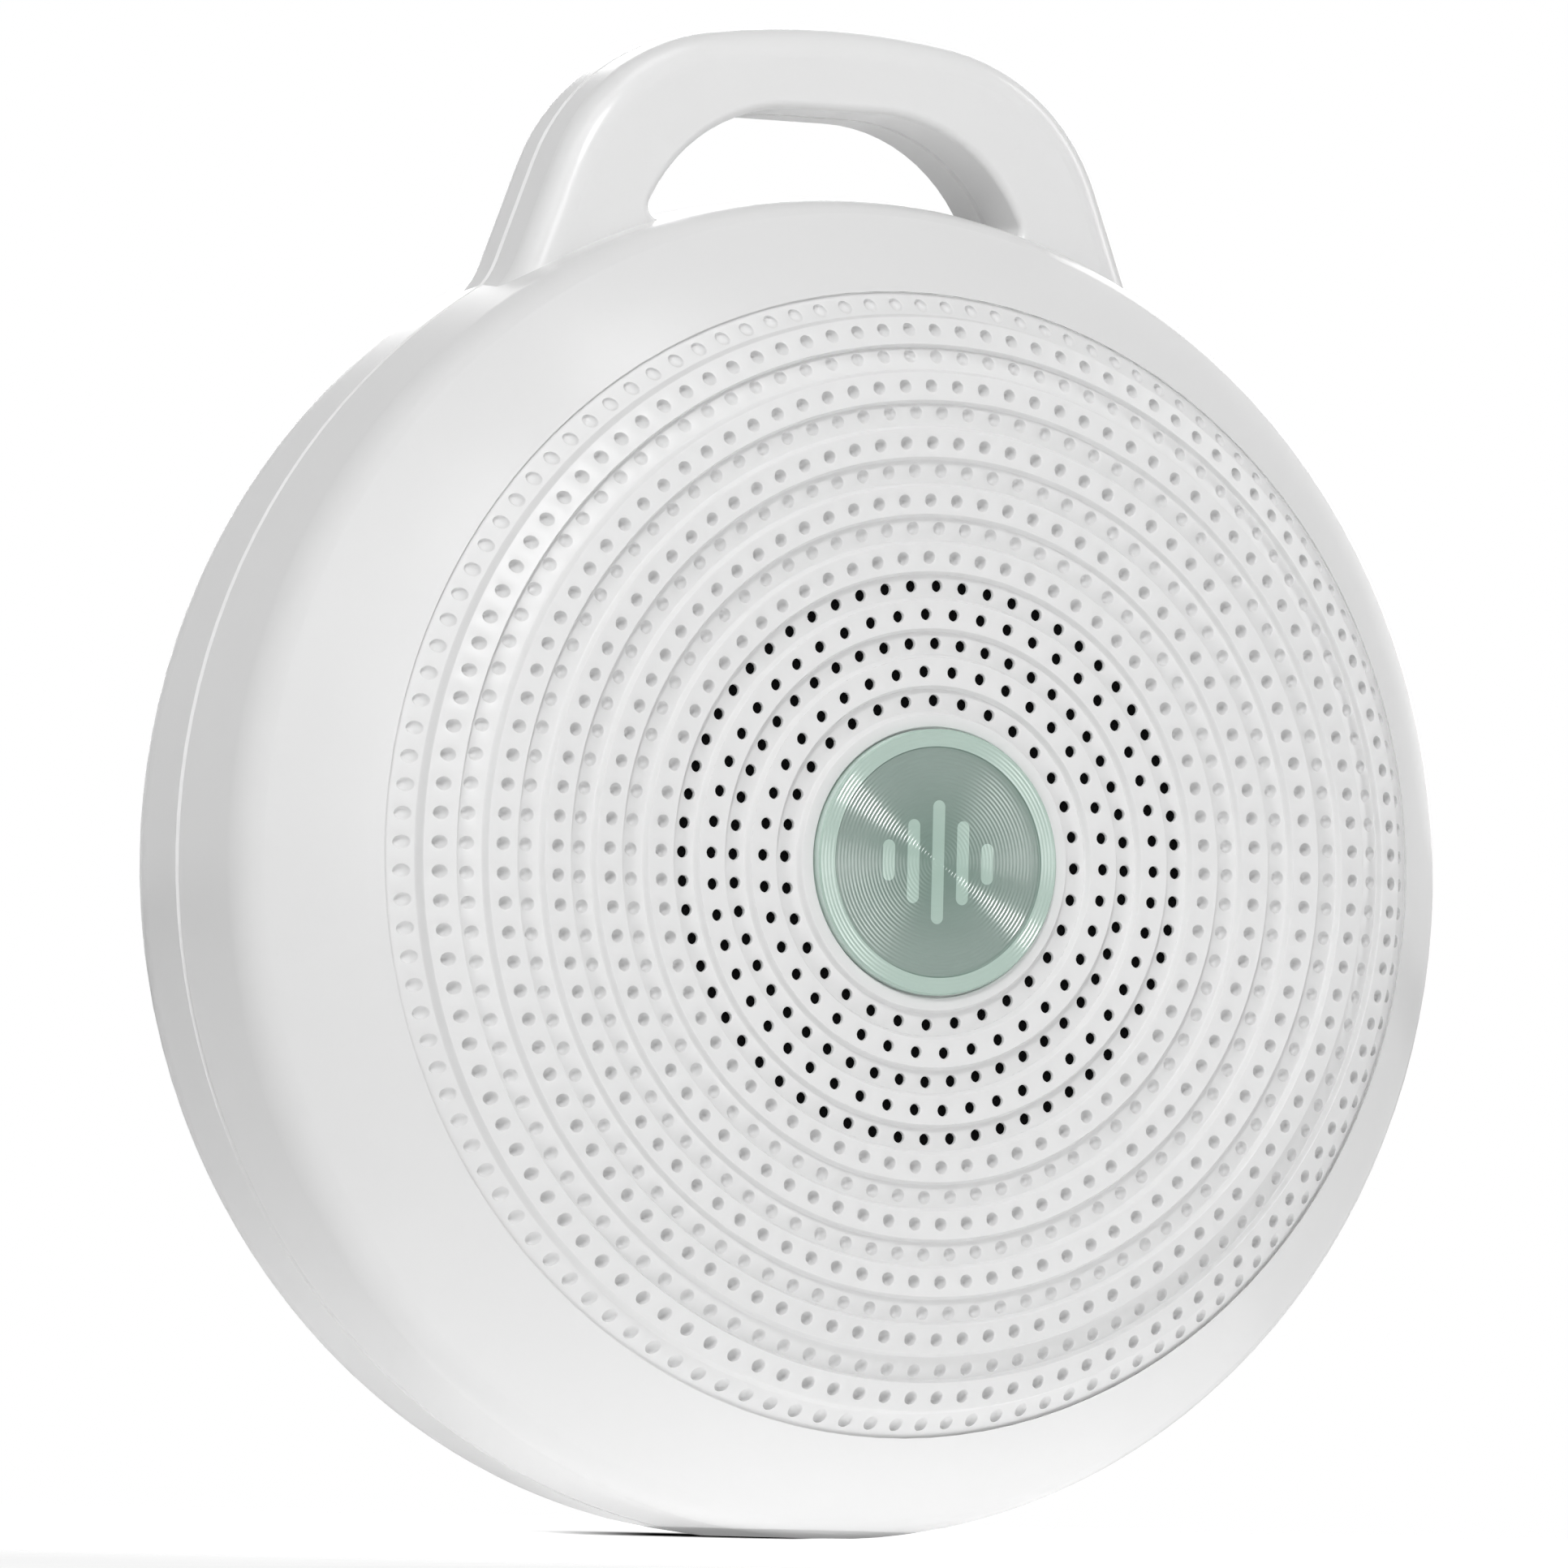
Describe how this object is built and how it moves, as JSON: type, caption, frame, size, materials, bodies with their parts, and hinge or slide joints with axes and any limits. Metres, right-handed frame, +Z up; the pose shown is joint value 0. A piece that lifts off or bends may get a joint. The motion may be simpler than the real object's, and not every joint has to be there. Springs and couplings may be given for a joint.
{
  "type": "portable white noise sound machine",
  "caption": "Round white travel sound machine with a rippled speaker grille, a moulded carrying loop, a mint badge and sprung buttons on the back.",
  "frame": {"origin": "middle of the bounding box on the floor", "axes": "+Z up, the grille and badge look towards -Y, +X to the right when seen from the front"},
  "size_m": [0.089, 0.0382, 0.1001],
  "materials": {
    "white_shell": "satin white moulded plastic",
    "white_grille": "satin white moulded plastic",
    "mint_badge": "spun and tinted metal",
    "mesh_cloth": "black acoustic cloth",
    "foam": "dark foam",
    "motor_steel": "plated steel",
    "basket_steel": "black painted steel",
    "ferrite": "grey ferrite",
    "copper_wire": "enamelled copper",
    "cone_paper": "pressed paper",
    "surround_rubber": "soft rubber",
    "spider_cloth": "impregnated cloth",
    "screw_steel": "zinc plated",
    "board_laminate": "green laminate",
    "chip_black": "moulded chip bodies",
    "battery_wrap": "grey pouch",
    "socket_steel": "plated steel",
    "led_lens": "small lamp",
    "clear_pipe": "clear plastic",
    "switch_black": "switch bodies",
    "button_white": "satin white moulded plastic",
    "plunger_dark": "switch plungers",
    "lead_skin": "soft insulation"
  },
  "bodies": {
    "housing": {"front_shell": "white_shell", "rear_shell": "white_shell", "speaker_grille": "white_grille", "badge": "mint_badge", "acoustic_mesh": "mesh_cloth", "speaker_gasket": "foam", "speaker_frame": "basket_steel", "speaker_top_plate": "motor_steel", "speaker_magnet": "ferrite", "speaker_yoke": "motor_steel", "voice_coil": "copper_wire", "speaker_cone": "cone_paper", "dust_cap": "cone_paper", "surround": "surround_rubber", "spider": "spider_cloth", "speaker_screws": "screw_steel", "circuit_board": "board_laminate", "board_chips": "chip_black", "board_screws": "screw_steel", "battery": "battery_wrap", "battery_pad": "foam", "usb_socket": "socket_steel", "status_led": "led_lens", "light_pipe": "clear_pipe", "switch_bodies": "switch_black", "case_screws": "screw_steel", "speaker_lead": "lead_skin", "battery_lead": "lead_skin"},
    "power_key": {"power_button": "button_white", "power_plunger": "plunger_dark"},
    "sound_key": {"sound_button": "button_white", "sound_plunger": "plunger_dark"},
    "volume_up_key": {"volume_up_button": "button_white", "volume_up_plunger": "plunger_dark"},
    "volume_down_key": {"volume_down_button": "button_white", "volume_down_plunger": "plunger_dark"}
  },
  "joints": [
    {"name": "power_press", "type": "slide", "parent": "housing", "child": "power_key", "axis": [0, -1, 0], "range_m": [0, 0.0005], "stiffness_N_per_m": 1600},
    {"name": "sound_press", "type": "slide", "parent": "housing", "child": "sound_key", "axis": [0, -1, 0], "range_m": [0, 0.0005], "stiffness_N_per_m": 1600},
    {"name": "volume_up_press", "type": "slide", "parent": "housing", "child": "volume_up_key", "axis": [0, -1, 0], "range_m": [0, 0.0005], "stiffness_N_per_m": 1600},
    {"name": "volume_down_press", "type": "slide", "parent": "housing", "child": "volume_down_key", "axis": [0, -1, 0], "range_m": [0, 0.0005], "stiffness_N_per_m": 1600}
  ]
}
